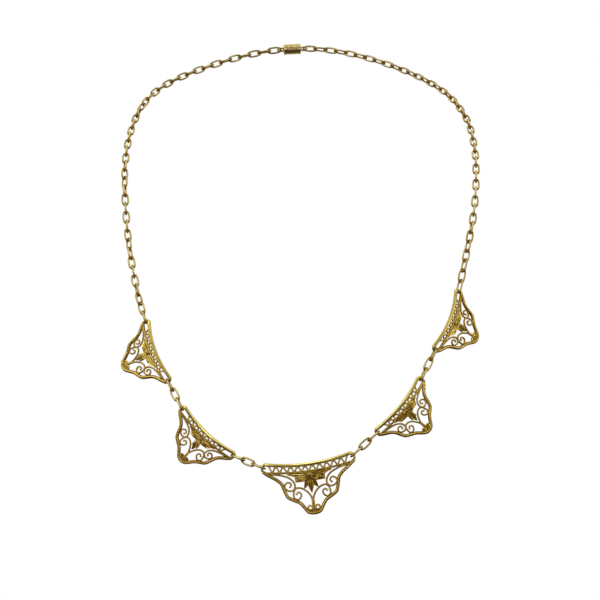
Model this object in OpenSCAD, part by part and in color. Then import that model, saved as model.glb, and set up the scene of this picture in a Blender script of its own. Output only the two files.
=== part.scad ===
// Draped necklace: five pierced plaques joined corner to corner by three links each,
// on a cable chain that closes with a plain barrel clasp behind the neck.
// Millimetres. +Z is up, the wearer faces -Y, and the origin is the nape of the neck.

/* [Chain] */
// Outer length of one oval link
link_length = 5.05; // [5.03:0.01:5.1]
// Outer width of one oval link
link_width = 2.5; // [2.4:0.05:2.6]
// Diameter of the link wire
link_wire = 0.64; // [0.6:0.01:0.66]

/* [Plaques] */
// Width of the centre plaque along its top bar
center_width = 27.6; // [27.5:0.05:27.7]
// Width of each side plaque along its top bar
side_width = 21.4; // [21.3:0.05:21.5]
// Radius that every plaque is bent to, round the neck
bend_radius = 45; // [44:1:48]
// Width of the polished top bar
bar_width = 1.04; // [0.96:0.02:1.08]
// Height of the top bar in front of the plaque's middle
bar_height = 0.5; // [0.4:0.05:0.55]
// Width of the half-round rim that runs to the point
rim_width = 1.02; // [0.94:0.02:1.04]
// Height of the rim in front of the plaque's middle
rim_height = 0.42; // [0.36:0.01:0.5]
// Height of the palmette leaves in front of the plaque's middle
leaf_height = 0.6; // [0.5:0.05:0.8]
// Width of the wires of the scrolls
scroll_wire = 0.56; // [0.5:0.01:0.58]
// Width of the wires of the zigzag strip
zigzag_wire = 0.54; // [0.48:0.01:0.56]

/* [Clasp] */
// Length of the barrel between its two eyes
clasp_length = 6; // [5:0.5:7]
// Diameter of the barrel
clasp_diameter = 3.6; // [3:0.1:4]
// Wire of the two eyes
eye_wire = 0.6; // [0.5:0.05:0.65]

/* [Hidden] */

// Middle of each plaque's top bar, its turns about Y, Z and X in that order, and its width
plaques = [
    // x, y, z, turn_y, turn_z, turn_x, width
    [-44.3, -98.1, -101, 68.3, -23.5, 14.5, side_width],
    [-28.3, -107.3, -125.7, 43, -2.5, 7, side_width],
    [1.8, -112.6, -134.3, -8, -1, 0, center_width],
    [29.3, -108, -117.5, -50.5, 8, 4, side_width],
    [44.7, -99, -91.7, -67, 23.5, 26.5, side_width]];
outer_left = 0;
mid_left = 1;
center = 2;
mid_right = 3;
outer_right = 4;

// The pattern is drawn on a grid in which every plaque is 92 units wide. The first number runs
// along the bar from the middle, the second down from the bar's ends to the point at 53.
grid = 92;
// The end ring that takes the chain: the place of its centre and its radius, in grid units
ring_u = 42.6;
ring_v = 2.6;
ring_r = 4.3;
// Width of the end ring's wall on the centre plaque and on the side plaques
center_ring_wall = 0.74;
side_ring_wall = 0.66;
// How far the bar and the sill sag below their ends, in grid units
bar_sag = 4.7;
sill_sag = 3.1;
sill_width = 0.64;
// Half the pitch of the zigzag in grid units, and how many wires it has each way from the middle.
// A small grain fills each corner that points up.
center_tooth = 3.65;
center_teeth = 11;
side_tooth = 4.7;
side_teeth = 7;
grain_r = 0.38;
grain_drop = 2;
// The widest wire of a scroll, in grid units
widest_scroll = 2.2;
// Back and front of each layer, counted from the plaque's middle
plate_layer = [-0.28, 0.28];
bar_layer = [-0.32, bar_height];
rim_layer = [-0.32, rim_height];
zigzag_layer = [-0.3, 0.31];
web_layer = [-0.27, 0.05];
scroll_layer = [-0.25, 0.25];
foot_layer = [-0.27, 0.29];
leaf_layer = [-0.31, leaf_height];
boss_layer = [-0.33, leaf_height + 0.15];

// Middle line of the rim, from the end ring to the point, on the centre and on the side plaques
center_rim = [
    // u, v
    [45.4, 6], [40.6, 9.9], [33.4, 15], [29, 19.8], [27.5, 25.1], [26, 30.1], [24.2, 33.9],
    [19.1, 37.2], [13.9, 40.1], [11, 43.2], [8.5, 47.1], [6.2, 50.5], [3, 51.9], [0, 52.1]];
side_rim = [
    // u, v
    [45.4, 6], [41.4, 9.9], [34.6, 15], [30.7, 19.8], [28.6, 25.1], [26.7, 30.1], [24.3, 33.9],
    [19.5, 37.2], [15, 40.2], [11.9, 43.3], [8.7, 47.1], [5.6, 50.4], [2.4, 51.9], [0, 52.1]];
// Upper scroll: from the sill down and round to a curl that touches the rim
upper_scroll = [
    // u, v
    [38.5, 8.6], [35, 9.3], [31, 10.2], [26, 11.9], [21, 14.4], [17.4, 18.2], [16, 22], [16.9, 25.7],
    [20, 27.6], [23.8, 26.7], [26.4, 23.7], [25.7, 20.5], [23, 18.8], [20.6, 19.6], [19.7, 21.7], [21, 23.4]];
// Lower scroll: up out of the stem, over and back to a curl that touches the rim. It rises a little
// higher on the side plaques.
center_scroll = [
    // u, v
    [0, 41], [1.1, 36], [3.7, 31.2], [7.5, 27.6], [11.5, 25.6], [15.2, 25.6], [17.4, 27.7],
    [18.5, 31.2], [18.2, 35], [15.4, 37], [12.5, 35.9], [10.9, 33.1], [11.6, 30.6], [13.8, 29.7],
    [15.5, 31.1]];
side_scroll = [
    // u, v
    [0, 41], [1, 36], [3.4, 31], [6.6, 26.8], [10.6, 24.2], [14.6, 24.4], [17.2, 27],
    [18.4, 31], [18.1, 34.9], [14.9, 36.7], [11.8, 35.4], [10.1, 32.5], [10.9, 29.9], [13.1, 29],
    [14.8, 30.4]];
// Leaves of the palmette, from its boss to each tip
boss_v = 13.7;
boss_r = 2.3;
center_leaves = [
    // tip_u, tip_v, bend, width
    [0, 32.3, 0, 6.4],
    [7.6, 27.4, 0.5, 5.4],
    [14.8, 19, 0.5, 4.2],
    [15.6, 15.2, 0.2, 4.8],
    [23.5, 10.9, -0.4, 6.4]];
side_leaves = [
    // tip_u, tip_v, bend, width
    [0, 32.4, 0, 8],
    [4.6, 27.4, 0.4, 5],
    [13.5, 17.8, 0.5, 4.4],
    [15.8, 14.8, 0.2, 4.8],
    [22.6, 11.1, -0.4, 6.8]];
// Right edge of the thin web behind the palmette, from the sill down
center_web = [
    // u, v
    [16.4, 9], [15.4, 13], [15, 19.8], [6, 20], [2, 23]];
side_web = [
    // u, v
    [20.4, 9.4], [17.8, 13.4], [15.2, 17.8], [6, 18.7], [2, 23]];
leaf_steps = 10;
// Under 1, a leaf is widest nearer to the boss
leaf_fullness = 0.85;
// The stem, its two small rings and the right half of the solid point under them
stem_top = 38;
stem_bottom = 52;
stem_width = 3.3;
bead_u = 3.8;
bead_v = 46.6;
bead_r = 2.2;
solid_point = [
    // u, v
    [6.9, 48.8], [5.4, 50.6], [2.6, 52.2]];

// How far an end link's middle lies from the ring wall that it hangs on, and in front of the wall's middle
seat = 1.29;
hang_lift = 0.09;
// Route of the chain: from the left outer plaque up behind the neck and down to the right one
left_route = [
    // x, y, z
    [-50.7, -86.5, -84], [-53.8, -77, -70.5], [-55.7, -67.5, -57], [-56.6, -57.5, -44],
    [-55.8, -45.5, -32.5], [-52.5, -32, -22], [-45.6, -20.5, -14.2], [-32.4, -9.5, -7.3], [-16, -2.5, -2]];
right_route = [
    // x, y, z
    [50.6, -89, -73], [53.7, -79.5, -59], [55.2, -68.5, -46], [55.2, -56.5, -35.5],
    [53.2, -43, -26], [46.8, -27, -16.5], [33.5, -11, -8], [16.5, -2.5, -2]];
links_per_side = 44;
// Turn of each link about the chain, counted from the plaque; the later ones go on at right angles
left_turns = [75, -35, 35, 105, 0, 90, -10, 60, 130, 20, 95, 0, 90, 0, 70, -40, 30, 110, 0, 90,
    0, 90, 0, 90, 0, 85, -20, 50, 125, 30, 110];
right_turns = [50, -20, 50, -20, 50, -20, 70, -5, 85, 0];
// The way a link with no turn faces: forward and a little up
facing = [0, -1, 0.5];
eye_r = 1;
eye_sink = 0.4;

wire_sides = 48;
ring_sides = 96;
bend_sides = 360;
curve_steps = 4;
bar_steps = 12;
// The end of a curl is a drop, this many wires wide
curl_drop = 1.3;
curl_sides = 24;
route_steps = 12;
// The blank that a plaque's layers are cut from
blank_depth = 5;
blank_height = 60;

function unit_of(plaque) = plaque[6] / grid;
function flat(u, v, unit) = [u * unit, -v * unit];
function mirrored(points) = [for (p = points) [-p[0], p[1]]];
function backward(points) = [for (i = [len(points) - 1 : -1 : 0]) points[i]];

// A smooth curve through points, with steps pieces between each two
function blend(a, b, c, d, t) =
    (2 * b + (c - a) * t + (2 * a - 5 * b + 4 * c - d) * t * t + (3 * b - a - 3 * c + d) * t * t * t) / 2;
function smooth(points, steps) = let (last = len(points) - 1) [
    for (i = [0 : last - 1], k = [0 : steps - 1])
        blend(i == 0 ? 2 * points[0] - points[1] : points[i - 1], points[i], points[i + 1],
            i == last - 1 ? 2 * points[last] - points[last - 1] : points[i + 2], k / steps),
    points[last]];

// The outline of a line of one width
function side_step(path, i) = let (
    along = path[min(i + 1, len(path) - 1)] - path[max(i - 1, 0)]) [-along[1], along[0]] / norm(along);
function outline(path, width) = concat(
    [for (i = [0 : len(path) - 1]) path[i] + side_step(path, i) * width / 2],
    [for (i = [len(path) - 1 : -1 : 0]) path[i] - side_step(path, i) * width / 2]);

function bar_v(u) = ring_v - ring_r + bar_sag * (1 - pow(u / ring_u, 2));
function sill_v(u) = ring_v + ring_r + sill_sag * (1 - pow(u / ring_u, 2));
bar_places = [for (k = [-bar_steps : bar_steps]) ring_u * k / bar_steps];

// Places in space: a point of a plaque's bent middle, its end rings' centres, and the point of a
// ring's wall where a link that leads to another place hangs
function turn_y(p, a) = [p[0] * cos(a) + p[2] * sin(a), p[1], p[2] * cos(a) - p[0] * sin(a)];
function turn_z(p, a) = [p[0] * cos(a) - p[1] * sin(a), p[0] * sin(a) + p[1] * cos(a), p[2]];
function turn_x(p, a) = [p[0], p[1] * cos(a) - p[2] * sin(a), p[1] * sin(a) + p[2] * cos(a)];
function turned(plaque, p) = turn_y(turn_z(turn_x(p, plaque[5]), plaque[4]), plaque[3]);
function sunk(u) = bend_radius - sqrt(bend_radius * bend_radius - u * u);
function point_of(plaque, u, v) = let (x = u * unit_of(plaque))
    [plaque[0], plaque[1], plaque[2]] + turned(plaque, [x, sunk(x), -v * unit_of(plaque)]);
function ring_center(plaque, side) = point_of(plaque, side * ring_u, ring_v);
function hang_point(plaque, side, toward) = let (
    way = toward - ring_center(plaque, side),
    along = [way * turned(plaque, [1, 0, 0]), way * turned(plaque, [0, 0, -1])],
    reach = along * ring_r / norm(along))
    point_of(plaque, side * ring_u + reach[0], ring_v + reach[1]) + front_of(plaque) * hang_lift;
function front_of(plaque) = turned(plaque, [0, -1, 0]);

// The route as one smooth line, its length up to each point, and the point at a given length
route = smooth(concat([hang_point(plaques[outer_left], -1, left_route[0])], left_route, [[0, 0, 0]],
    backward(right_route), [hang_point(plaques[outer_right], 1, right_route[0])]), route_steps);
route_lengths = [for (i = 0, s = 0; i < len(route); i = i + 1,
    s = i < len(route) ? s + norm(route[i] - route[i - 1]) : s) s];
route_length = route_lengths[len(route) - 1];
route_tables = [for (axis = [0 : 2]) [for (i = [0 : len(route) - 1]) [route_lengths[i], route[i][axis]]]];
function route_point(s) = [for (axis = [0 : 2]) lookup(s, route_tables[axis])];
function route_way(s) = route_point(s + 0.5) - route_point(s - 0.5);

// The links lie evenly between the outer plaques and the clasp in the middle of the route
clasp_reach = clasp_length / 2 - eye_sink + eye_wire / 2 + 2 * eye_r;
chain_pitch = (route_length / 2 - clasp_reach - 2 * seat) / (links_per_side - 1);
function turn_of(turns, i) = i < len(turns) ? turns[i] : turns[len(turns) - 1] + 90 * (i - len(turns) + 1);

// Puts a piece at a place with its X axis along way and its Z axis towards face, then turned about way
module placed(place, way, face, turn) {
    x = way / norm(way);
    z0 = face - x * (face * x);
    z = z0 / norm(z0);
    y = cross(z, x);
    multmatrix([[x[0], y[0], z[0], place[0]], [x[1], y[1], z[1], place[1]], [x[2], y[2], z[2], place[2]],
        [0, 0, 0, 1]]) rotate([turn, 0, 0]) children();
}

// One link: two half rings and the two straight wires between them
module link() {
    end_r = (link_width - link_wire) / 2;
    straight = link_length - link_width;
    for (s = [0, 180]) rotate([0, 0, s]) {
        translate([straight / 2, 0, 0]) rotate([0, 0, -90]) rotate_extrude(angle = 180, $fn = ring_sides)
            translate([end_r, 0]) circle(d = link_wire, $fn = wire_sides);
        translate([-straight / 2, end_r, 0]) rotate([0, 90, 0])
            cylinder(d = link_wire, h = straight, $fn = wire_sides);
    }
}

// One layer of a plaque: its outline cut from a sheet that is bent to the neck
module layer(planes) {
    intersection() {
        translate([0, 0, -blank_depth]) linear_extrude(height = 2 * blank_depth) children();
        translate([0, 0, -bend_radius]) rotate([90, 0, 0]) difference() {
            cylinder(r = bend_radius + planes[1], h = blank_height, center = true, $fn = bend_sides);
            cylinder(r = bend_radius + planes[0], h = blank_height + 2, center = true, $fn = bend_sides);
        }
    }
}

module wire_line(points, width, unit) {
    polygon(outline([for (p = smooth(points, curve_steps)) flat(p[0], p[1], unit)], width));
}

// The half ring that ends the strip, on the right
module end_ring(unit, wall) {
    arc = [for (a = [90 : -7.5 : -90]) flat(ring_u + ring_r * cos(a), ring_v - ring_r * sin(a), unit)];
    polygon(outline(arc, wall));
}

module bar(unit) {
    polygon(outline([for (u = bar_places) flat(u, bar_v(u), unit)], bar_width));
}

module sill(unit) {
    polygon(outline([for (u = bar_places) flat(u, sill_v(u), unit)], sill_width));
}

module zigzag(unit, tooth, teeth) {
    for (k = [-teeth : teeth - 1]) {
        u = [k, k + 1] * tooth;
        up = abs(k) % 2;
        a = up == 1 ? bar_v(u[0]) : sill_v(u[0]);
        b = up == 1 ? sill_v(u[1]) : bar_v(u[1]);
        polygon(outline([flat(u[0], a, unit), flat(u[1], b, unit)], zigzag_wire));
        if (up == 1) translate(flat(u[0], a + grain_drop, unit)) circle(r = grain_r, $fn = curl_sides);
    }
}

module rim(unit, line) {
    half = [for (i = [0 : len(line) - 2]) line[i]];
    whole = concat(line, backward(mirrored(half)));
    polygon(outline([for (p = smooth(whole, curve_steps)) flat(p[0], p[1], unit)], rim_width));
}

// A leaf that is widest past its middle
module leaf(unit, tip, bend, width) {
    base = [0, boss_v];
    along = tip - base;
    across = [-along[1], along[0]] / norm(along);
    function middle(t) = base + along * t + across * bend * 4 * t * (1 - t);
    function half(t) = width / 2 * sin(180 * pow(t, leaf_fullness));
    edge = [for (k = [0 : leaf_steps]) middle(k / leaf_steps) + across * half(k / leaf_steps)];
    other_edge = [for (k = [leaf_steps - 1 : -1 : 1]) middle(k / leaf_steps) - across * half(k / leaf_steps)];
    polygon([for (p = concat(edge, other_edge)) flat(p[0], p[1], unit)]);
}

module web(unit, edge) {
    polygon([for (p = concat(edge, backward(mirrored(edge)))) flat(p[0], p[1], unit)]);
}

module palmette(unit, leaves) {
    for (row = leaves, s = row[0] == 0 ? [1] : [-1, 1])
        leaf(unit, [s * row[0], row[1]], s * row[2], row[3]);
}

module scrolls(unit, wire, lower_scroll) {
    for (line = [upper_scroll, lower_scroll, mirrored(upper_scroll), mirrored(lower_scroll)]) {
        last = line[len(line) - 1];
        wire_line(line, wire, unit);
        translate(flat(last[0], last[1], unit)) circle(d = wire * curl_drop, $fn = curl_sides);
    }
}

// The stem with its two rings, and the solid point. The side plaques' rings are solid.
module foot(unit, wire, pierced) {
    translate(flat(-stem_width / 2, stem_bottom, unit)) square([stem_width, stem_bottom - stem_top] * unit);
    for (s = [-1, 1]) translate(flat(s * bead_u, bead_v, unit)) difference() {
        circle(r = bead_r * unit + wire / 2, $fn = ring_sides);
        if (pierced) circle(r = bead_r * unit - wire / 2, $fn = ring_sides);
    }
    polygon([for (p = concat(solid_point, backward(mirrored(solid_point)))) flat(p[0], p[1], unit)]);
}

module plaque(index, is_center) {
    p = plaques[index];
    unit = unit_of(p);
    wire = min(scroll_wire, widest_scroll * unit);
    color("gold") translate([p[0], p[1], p[2]]) rotate([0, p[3], 0]) rotate([0, 0, p[4]]) rotate([p[5], 0, 0])
        rotate([90, 0, 0]) union() {
            layer(plate_layer) {
                wall = is_center ? center_ring_wall : side_ring_wall;
                end_ring(unit, wall);
                mirror([1, 0]) end_ring(unit, wall);
                sill(unit);
            }
            layer(bar_layer) bar(unit);
            layer(rim_layer) rim(unit, is_center ? center_rim : side_rim);
            layer(zigzag_layer)
                zigzag(unit, is_center ? center_tooth : side_tooth, is_center ? center_teeth : side_teeth);
            layer(scroll_layer) scrolls(unit, wire, is_center ? center_scroll : side_scroll);
            layer(foot_layer) foot(unit, wire, is_center);
            layer(web_layer) web(unit, is_center ? center_web : side_web);
            layer(leaf_layer) palmette(unit, is_center ? center_leaves : side_leaves);
            layer(boss_layer) translate(flat(0, boss_v, unit)) circle(r = boss_r * unit, $fn = ring_sides);
        }
}

// Link number k of the three between two neighbouring plaques: edge on, flat, edge on
module connector(index, k) {
    a = plaques[index];
    b = plaques[index + 1];
    from = hang_point(a, 1, ring_center(b, -1));
    to = hang_point(b, -1, ring_center(a, 1));
    way = (to - from) / norm(to - from);
    pitch = (norm(to - from) - 2 * seat) / 2;
    color("gold") placed(from + way * (seat + k * pitch), way, front_of(a) + front_of(b), k == 1 ? 0 : 90)
        link();
}

module chain(turns, from_left) {
    for (i = [0 : links_per_side - 1]) {
        s = seat + i * chain_pitch;
        at = from_left ? s : route_length - s;
        placed(route_point(at), route_way(at), facing, turn_of(turns, i)) link();
    }
}

module chain_left() {
    color("gold") chain(left_turns, true);
}

module chain_right() {
    color("gold") chain(right_turns, false);
}

// A plain barrel with an eye at each end, straight between the two chains' last links
module clasp() {
    bevel = 0.5;
    h = clasp_length / 2;
    r = clasp_diameter / 2;
    from = route_point(route_length / 2 - clasp_reach);
    to = route_point(route_length / 2 + clasp_reach);
    color("gold") placed((from + to) / 2, to - from, facing, 90) union() {
        rotate([0, 90, 0]) rotate_extrude($fn = ring_sides)
            polygon([[0, -h], [r - bevel, -h], [r, bevel - h], [r, h - bevel], [r - bevel, h], [0, h]]);
        for (s = [-1, 1]) translate([s * (h - eye_sink + eye_wire / 2 + eye_r), 0, 0])
            rotate_extrude($fn = ring_sides) translate([eye_r, 0]) circle(d = eye_wire, $fn = wire_sides);
    }
}

plaque(center, true);  // plaque_center
plaque(mid_left, false);  // plaque_mid_left
plaque(mid_right, false);  // plaque_mid_right
plaque(outer_left, false);  // plaque_outer_left
plaque(outer_right, false);  // plaque_outer_right
connector(mid_left, 2);  // link_left_1
connector(mid_left, 1);  // link_left_2
connector(mid_left, 0);  // link_left_3
connector(outer_left, 2);  // link_left_4
connector(outer_left, 1);  // link_left_5
connector(outer_left, 0);  // link_left_6
connector(center, 0);  // link_right_1
connector(center, 1);  // link_right_2
connector(center, 2);  // link_right_3
connector(mid_right, 0);  // link_right_4
connector(mid_right, 1);  // link_right_5
connector(mid_right, 2);  // link_right_6
chain_left();
chain_right();
clasp();
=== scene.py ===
import math

import bpy
import numpy as np
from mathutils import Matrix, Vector


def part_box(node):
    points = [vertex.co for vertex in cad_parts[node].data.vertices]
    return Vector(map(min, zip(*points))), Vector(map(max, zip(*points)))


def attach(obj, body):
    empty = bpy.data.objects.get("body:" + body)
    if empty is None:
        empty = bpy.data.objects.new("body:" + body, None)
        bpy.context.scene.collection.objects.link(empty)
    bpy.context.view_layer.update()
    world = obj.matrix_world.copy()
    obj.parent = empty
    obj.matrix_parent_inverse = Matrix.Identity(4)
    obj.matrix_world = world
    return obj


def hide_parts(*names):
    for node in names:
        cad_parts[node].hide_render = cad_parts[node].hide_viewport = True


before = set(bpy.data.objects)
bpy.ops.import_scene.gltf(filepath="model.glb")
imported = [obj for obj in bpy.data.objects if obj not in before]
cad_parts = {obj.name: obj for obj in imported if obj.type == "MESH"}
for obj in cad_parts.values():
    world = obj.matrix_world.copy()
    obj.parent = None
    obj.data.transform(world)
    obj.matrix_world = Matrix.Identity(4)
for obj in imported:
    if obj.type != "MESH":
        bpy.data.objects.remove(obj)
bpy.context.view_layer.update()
scene = bpy.context.scene

# Millimetres to metres
mm = 0.001

# Camera: level, in front of the necklace, with the photo's narrow angle
view = {"place": (-0.5, -912, -86), "halfWidth": 90, "reach": 800, "nearest": 10}

camera = bpy.data.objects.new("camera", bpy.data.cameras.new("camera"))
camera.data.sensor_fit = "HORIZONTAL"
camera.data.angle = 2 * math.atan(view["halfWidth"] / view["reach"])
camera.data.clip_start = view["nearest"] * mm
camera.location = Vector(view["place"]) * mm
camera.rotation_euler = (math.pi / 2, 0, 0)
scene.collection.objects.link(camera)
scene.camera = camera
scene.view_settings.view_transform = "Standard"


# A node that maps one range of numbers to another
def mapRange(nodes, before, after):
    node = nodes.new("ShaderNodeMapRange")
    for label, value in zip(("From Min", "From Max", "To Min", "To Max"), (*before, *after)):
        node.inputs[label].default_value = value
    return node


# A colour ramp with the given stops, from left to right: place and colour
def makeRamp(nodes, stops):
    ramp = nodes.new("ShaderNodeValToRGB")
    elements = ramp.color_ramp.elements
    for k, (at, colour) in enumerate(stops):
        stop = elements[k] if k < 2 else elements.new(at)
        stop.position = at
        stop.color = (*colour, 1)
    return ramp


# The room: white to the camera. The gold mirrors a sky that is dark in front and below and
# bright above and behind, and soft boxes and small lamps round the camera.
room = {
    "white": 1.0,
    "bright": (0, 1, 1),
    # from the dark side to the bright one: place, level, share of green (blue has its square)
    "sky": [
        (0.0, 0.035, 0.7), (0.1, 0.06, 0.7), (0.15, 0.21, 0.9), (0.25, 0.13, 0.8), (0.4, 0.22, 0.95),
        (0.5, 0.26, 1), (0.7, 0.5, 1), (0.85, 0.87, 1), (1.0, 0.7, 1)],
    "aim": (0, -100, -110), "reach": 900,
    "lamps": [
        # name, degrees to the right of the camera, degrees up, size, watts
        ("left box", -45, 20, 0.5, 0.75),
        ("right box", 56, 10, 0.5, 0.72),
        ("side box", -90, 5, 0.5, 0.5),
        ("high left lamp", -48, 45, 0.24, 0.22),
        ("high right lamp", 40, 38, 0.28, 0.22),
        ("front lamp", 12, 20, 0.16, 0.3),
        ("low lamp", -14, -10, 0.34, 0.3),
        ("top lamp", -20, 66, 0.2, 0.3)]}


def makeSky():
    world = bpy.data.worlds.new("room")
    scene.world = world
    world.use_nodes = True
    nodes, links = world.node_tree.nodes, world.node_tree.links
    nodes.clear()
    where = nodes.new("ShaderNodeTexCoord")
    split = nodes.new("ShaderNodeVectorMath")
    split.operation = "DOT_PRODUCT"
    split.inputs[1].default_value = Vector(room["bright"]).normalized()
    height = mapRange(nodes, (-1, 1), (0, 1))
    stops = [(at, (level, level * green, level * green * green)) for at, level, green in room["sky"]]
    sky = makeRamp(nodes, stops)
    seen = nodes.new("ShaderNodeLightPath")
    plain = nodes.new("ShaderNodeBackground")
    plain.inputs["Color"].default_value = (1, 1, 1, 1)
    plain.inputs["Strength"].default_value = room["white"]
    reflected = nodes.new("ShaderNodeBackground")
    reflected.inputs["Strength"].default_value = 1
    both = nodes.new("ShaderNodeMixShader")
    out = nodes.new("ShaderNodeOutputWorld")
    links.new(where.outputs["Generated"], split.inputs[0])
    links.new(split.outputs["Value"], height.inputs["Value"])
    links.new(height.outputs[0], sky.inputs[0])
    links.new(sky.outputs["Color"], reflected.inputs["Color"])
    links.new(seen.outputs["Is Camera Ray"], both.inputs[0])
    links.new(reflected.outputs[0], both.inputs[1])
    links.new(plain.outputs[0], both.inputs[2])
    links.new(both.outputs[0], out.inputs[0])


def makeLamps():
    for name, right, up, size, watts in room["lamps"]:
        lamp = bpy.data.objects.new(name, bpy.data.lights.new(name, "AREA"))
        lamp.data.shape = "DISK"
        lamp.data.size = size
        lamp.data.energy = watts
        turn, rise = math.radians(right), math.radians(up)
        away = Vector((math.sin(turn) * math.cos(rise), -math.cos(turn) * math.cos(rise), math.sin(rise)))
        lamp.location = (Vector(room["aim"]) + away * room["reach"]) * mm
        lamp.rotation_euler = (-away).to_track_quat("-Z", "Y").to_euler()
        scene.collection.objects.link(lamp)


makeSky()
makeLamps()
print("camera and lights are set")


# Gold: the tint of its edges, base colours from recess to crest, which paint shade into the recesses and a
# highlight onto the crests, how rough each is from dull to polished, how far patina and single links
# differ, and the scale and depth of the fine grain
golds = {
    "plaque": {
        "edge": (0.85, 0.6, 0.25),
        "recess": (0.24, 0.08, 0.008), "body": (0.74, 0.50, 0.085), "crest": (0.94, 0.80, 0.25),
        "rough": (0.42, 0.28, 0.12), "patina": 0.12, "shade": 0, "grain": 900, "bump": 0.012},
    "chain": {
        "edge": (0.9, 0.78, 0.42),
        "recess": (0.44, 0.21, 0.025), "body": (0.48, 0.36, 0.10), "crest": (0.83, 0.71, 0.33),
        "rough": (0.38, 0.26, 0.18), "patina": 0.12, "shade": 0.12, "grain": 1100, "bump": 0.02},
    "clasp": {
        "edge": (1, 0.82, 0.45),
        "recess": (0.35, 0.21, 0.05), "body": (0.85, 0.65, 0.24), "crest": (0.98, 0.83, 0.38),
        "rough": (0.36, 0.24, 0.16), "patina": 0.25, "shade": 0, "grain": 800, "bump": 0.05}}
# What the golds share: patina clouds against the grain's scale, and how deep the grain's dents are
surface = {
    "cloudScale": 0.25, "cloudDetail": 3, "cloudRange": (0.3, 0.7), "cloudShine": 0.5,
    "gritDetail": 4, "gritTwist": 0.6, "dentDepth": 0.2}


def makeGold(name):
    gold = golds[name]
    material = bpy.data.materials.new(name + " gold")
    material.use_nodes = True
    nodes, links = material.node_tree.nodes, material.node_tree.links
    shader = nodes["Principled BSDF"]
    shader.inputs["Metallic"].default_value = 1
    shader.inputs["Specular Tint"].default_value = (*gold["edge"], 1)
    where = nodes.new("ShaderNodeTexCoord")
    # The stored level of polish and painted light: low levels paint shade, high levels paint a highlight
    storedPolishAndLight = nodes.new("ShaderNodeAttribute")
    storedPolishAndLight.attribute_name = "polish"
    clouds = nodes.new("ShaderNodeTexNoise")
    clouds.inputs["Scale"].default_value = gold["grain"] * surface["cloudScale"]
    clouds.inputs["Detail"].default_value = surface["cloudDetail"]
    wearRange = (-gold["patina"], gold["patina"] * surface["cloudShine"])
    spread = mapRange(nodes, surface["cloudRange"], wearRange)
    piece = nodes.new("ShaderNodeAttribute")
    piece.attribute_name = "shade"
    apart = nodes.new("ShaderNodeMath")
    apart.operation = "MULTIPLY_ADD"
    apart.inputs[1].default_value = gold["shade"]
    patinaPolishAndLight = nodes.new("ShaderNodeMath")
    patinaPolishAndLight.operation = "ADD"
    patinaPolishAndLight.use_clamp = True
    # Base colour from that level plus patina: painted shade (dark red-brown) at the low end, the body in
    # the middle, a painted highlight (pale yellow) at the top; roughness follows the same level as real
    # polish
    tint = makeRamp(nodes, [(0, gold["recess"]), (0.5, gold["body"]), (1, gold["crest"])])
    rough = makeRamp(nodes, [(at, (level, level, level)) for at, level in zip((0, 0.5, 1), gold["rough"])])
    grit = nodes.new("ShaderNodeTexNoise")
    grit.inputs["Scale"].default_value = gold["grain"]
    grit.inputs["Detail"].default_value = surface["gritDetail"]
    grit.inputs["Distortion"].default_value = surface["gritTwist"]
    dents = nodes.new("ShaderNodeBump")
    dents.inputs["Strength"].default_value = gold["bump"]
    dents.inputs["Distance"].default_value = surface["dentDepth"] * mm
    links.new(where.outputs["Object"], clouds.inputs["Vector"])
    links.new(where.outputs["Object"], grit.inputs["Vector"])
    links.new(clouds.outputs[0], spread.inputs["Value"])
    links.new(piece.outputs["Fac"], apart.inputs[0])
    links.new(spread.outputs[0], apart.inputs[2])
    links.new(storedPolishAndLight.outputs["Fac"], patinaPolishAndLight.inputs[0])
    links.new(apart.outputs[0], patinaPolishAndLight.inputs[1])
    links.new(patinaPolishAndLight.outputs[0], tint.inputs[0])
    links.new(patinaPolishAndLight.outputs[0], rough.inputs[0])
    links.new(tint.outputs["Color"], shader.inputs["Base Color"])
    links.new(rough.outputs["Color"], shader.inputs["Roughness"])
    links.new(grit.outputs[0], dents.inputs["Height"])
    links.new(dents.outputs[0], shader.inputs["Normal"])
    return material


plaqueGold = makeGold("plaque")
chainGold = makeGold("chain")
claspGold = makeGold("clasp")
print("materials are made")


# A smooth object, sharp only over this angle in degrees, with its level of polish and painted light stored
# on
# its points: that level paints shade and highlight into its colour
sharpAngle = 50


def newPiece(name, points, faces, polish, material):
    mesh = bpy.data.meshes.new(name)
    mesh.from_pydata([tuple(p) for p in points], [], faces)
    layer = mesh.attributes.new("polish", "FLOAT", "POINT")
    layer.data.foreach_set("value", np.asarray(polish, np.float32))
    mesh.update()
    mesh.shade_smooth()
    obj = bpy.data.objects.new(name, mesh)
    scene.collection.objects.link(obj)
    mesh.materials.append(material)
    mesh.set_sharp_from_angle(angle=math.radians(sharpAngle))
    return obj


# The solids of a CAD node, merged from its loose triangles to a micrometre: an array of points for each
def solidsOf(node):
    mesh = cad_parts[node].data
    points = np.zeros(len(mesh.vertices) * 3)
    mesh.vertices.foreach_get("co", points)
    points = points.reshape(-1, 3)
    _, first, same = np.unique(np.round(points * 1e6), axis=0, return_index=True, return_inverse=True)
    same = same.reshape(-1)
    loops = np.zeros(len(mesh.loops), int)
    mesh.loops.foreach_get("vertex_index", loops)
    corners = same[loops].reshape(-1, 3)
    group = np.arange(len(first))
    while True:
        low = group[corners].min(axis=1)
        new = group.copy()
        for c in range(3):
            np.minimum.at(new, corners[:, c], low)
        new = new[new]
        if (new == group).all():
            break
        group = new
    return [points[first[group == g]] for g in np.unique(group)]


# Middle, long axis and thin axis of a solid
def axesOf(points):
    middle = points.mean(0)
    _, vectors = np.linalg.eigh(np.cov((points - middle).T))
    longWay, thinWay = vectors[:, 2], vectors[:, 0]
    reach = (points - middle) @ vectors
    middle = middle + vectors @ ((reach.max(0) + reach.min(0)) / 2)
    return middle, longWay, thinWay


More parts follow.
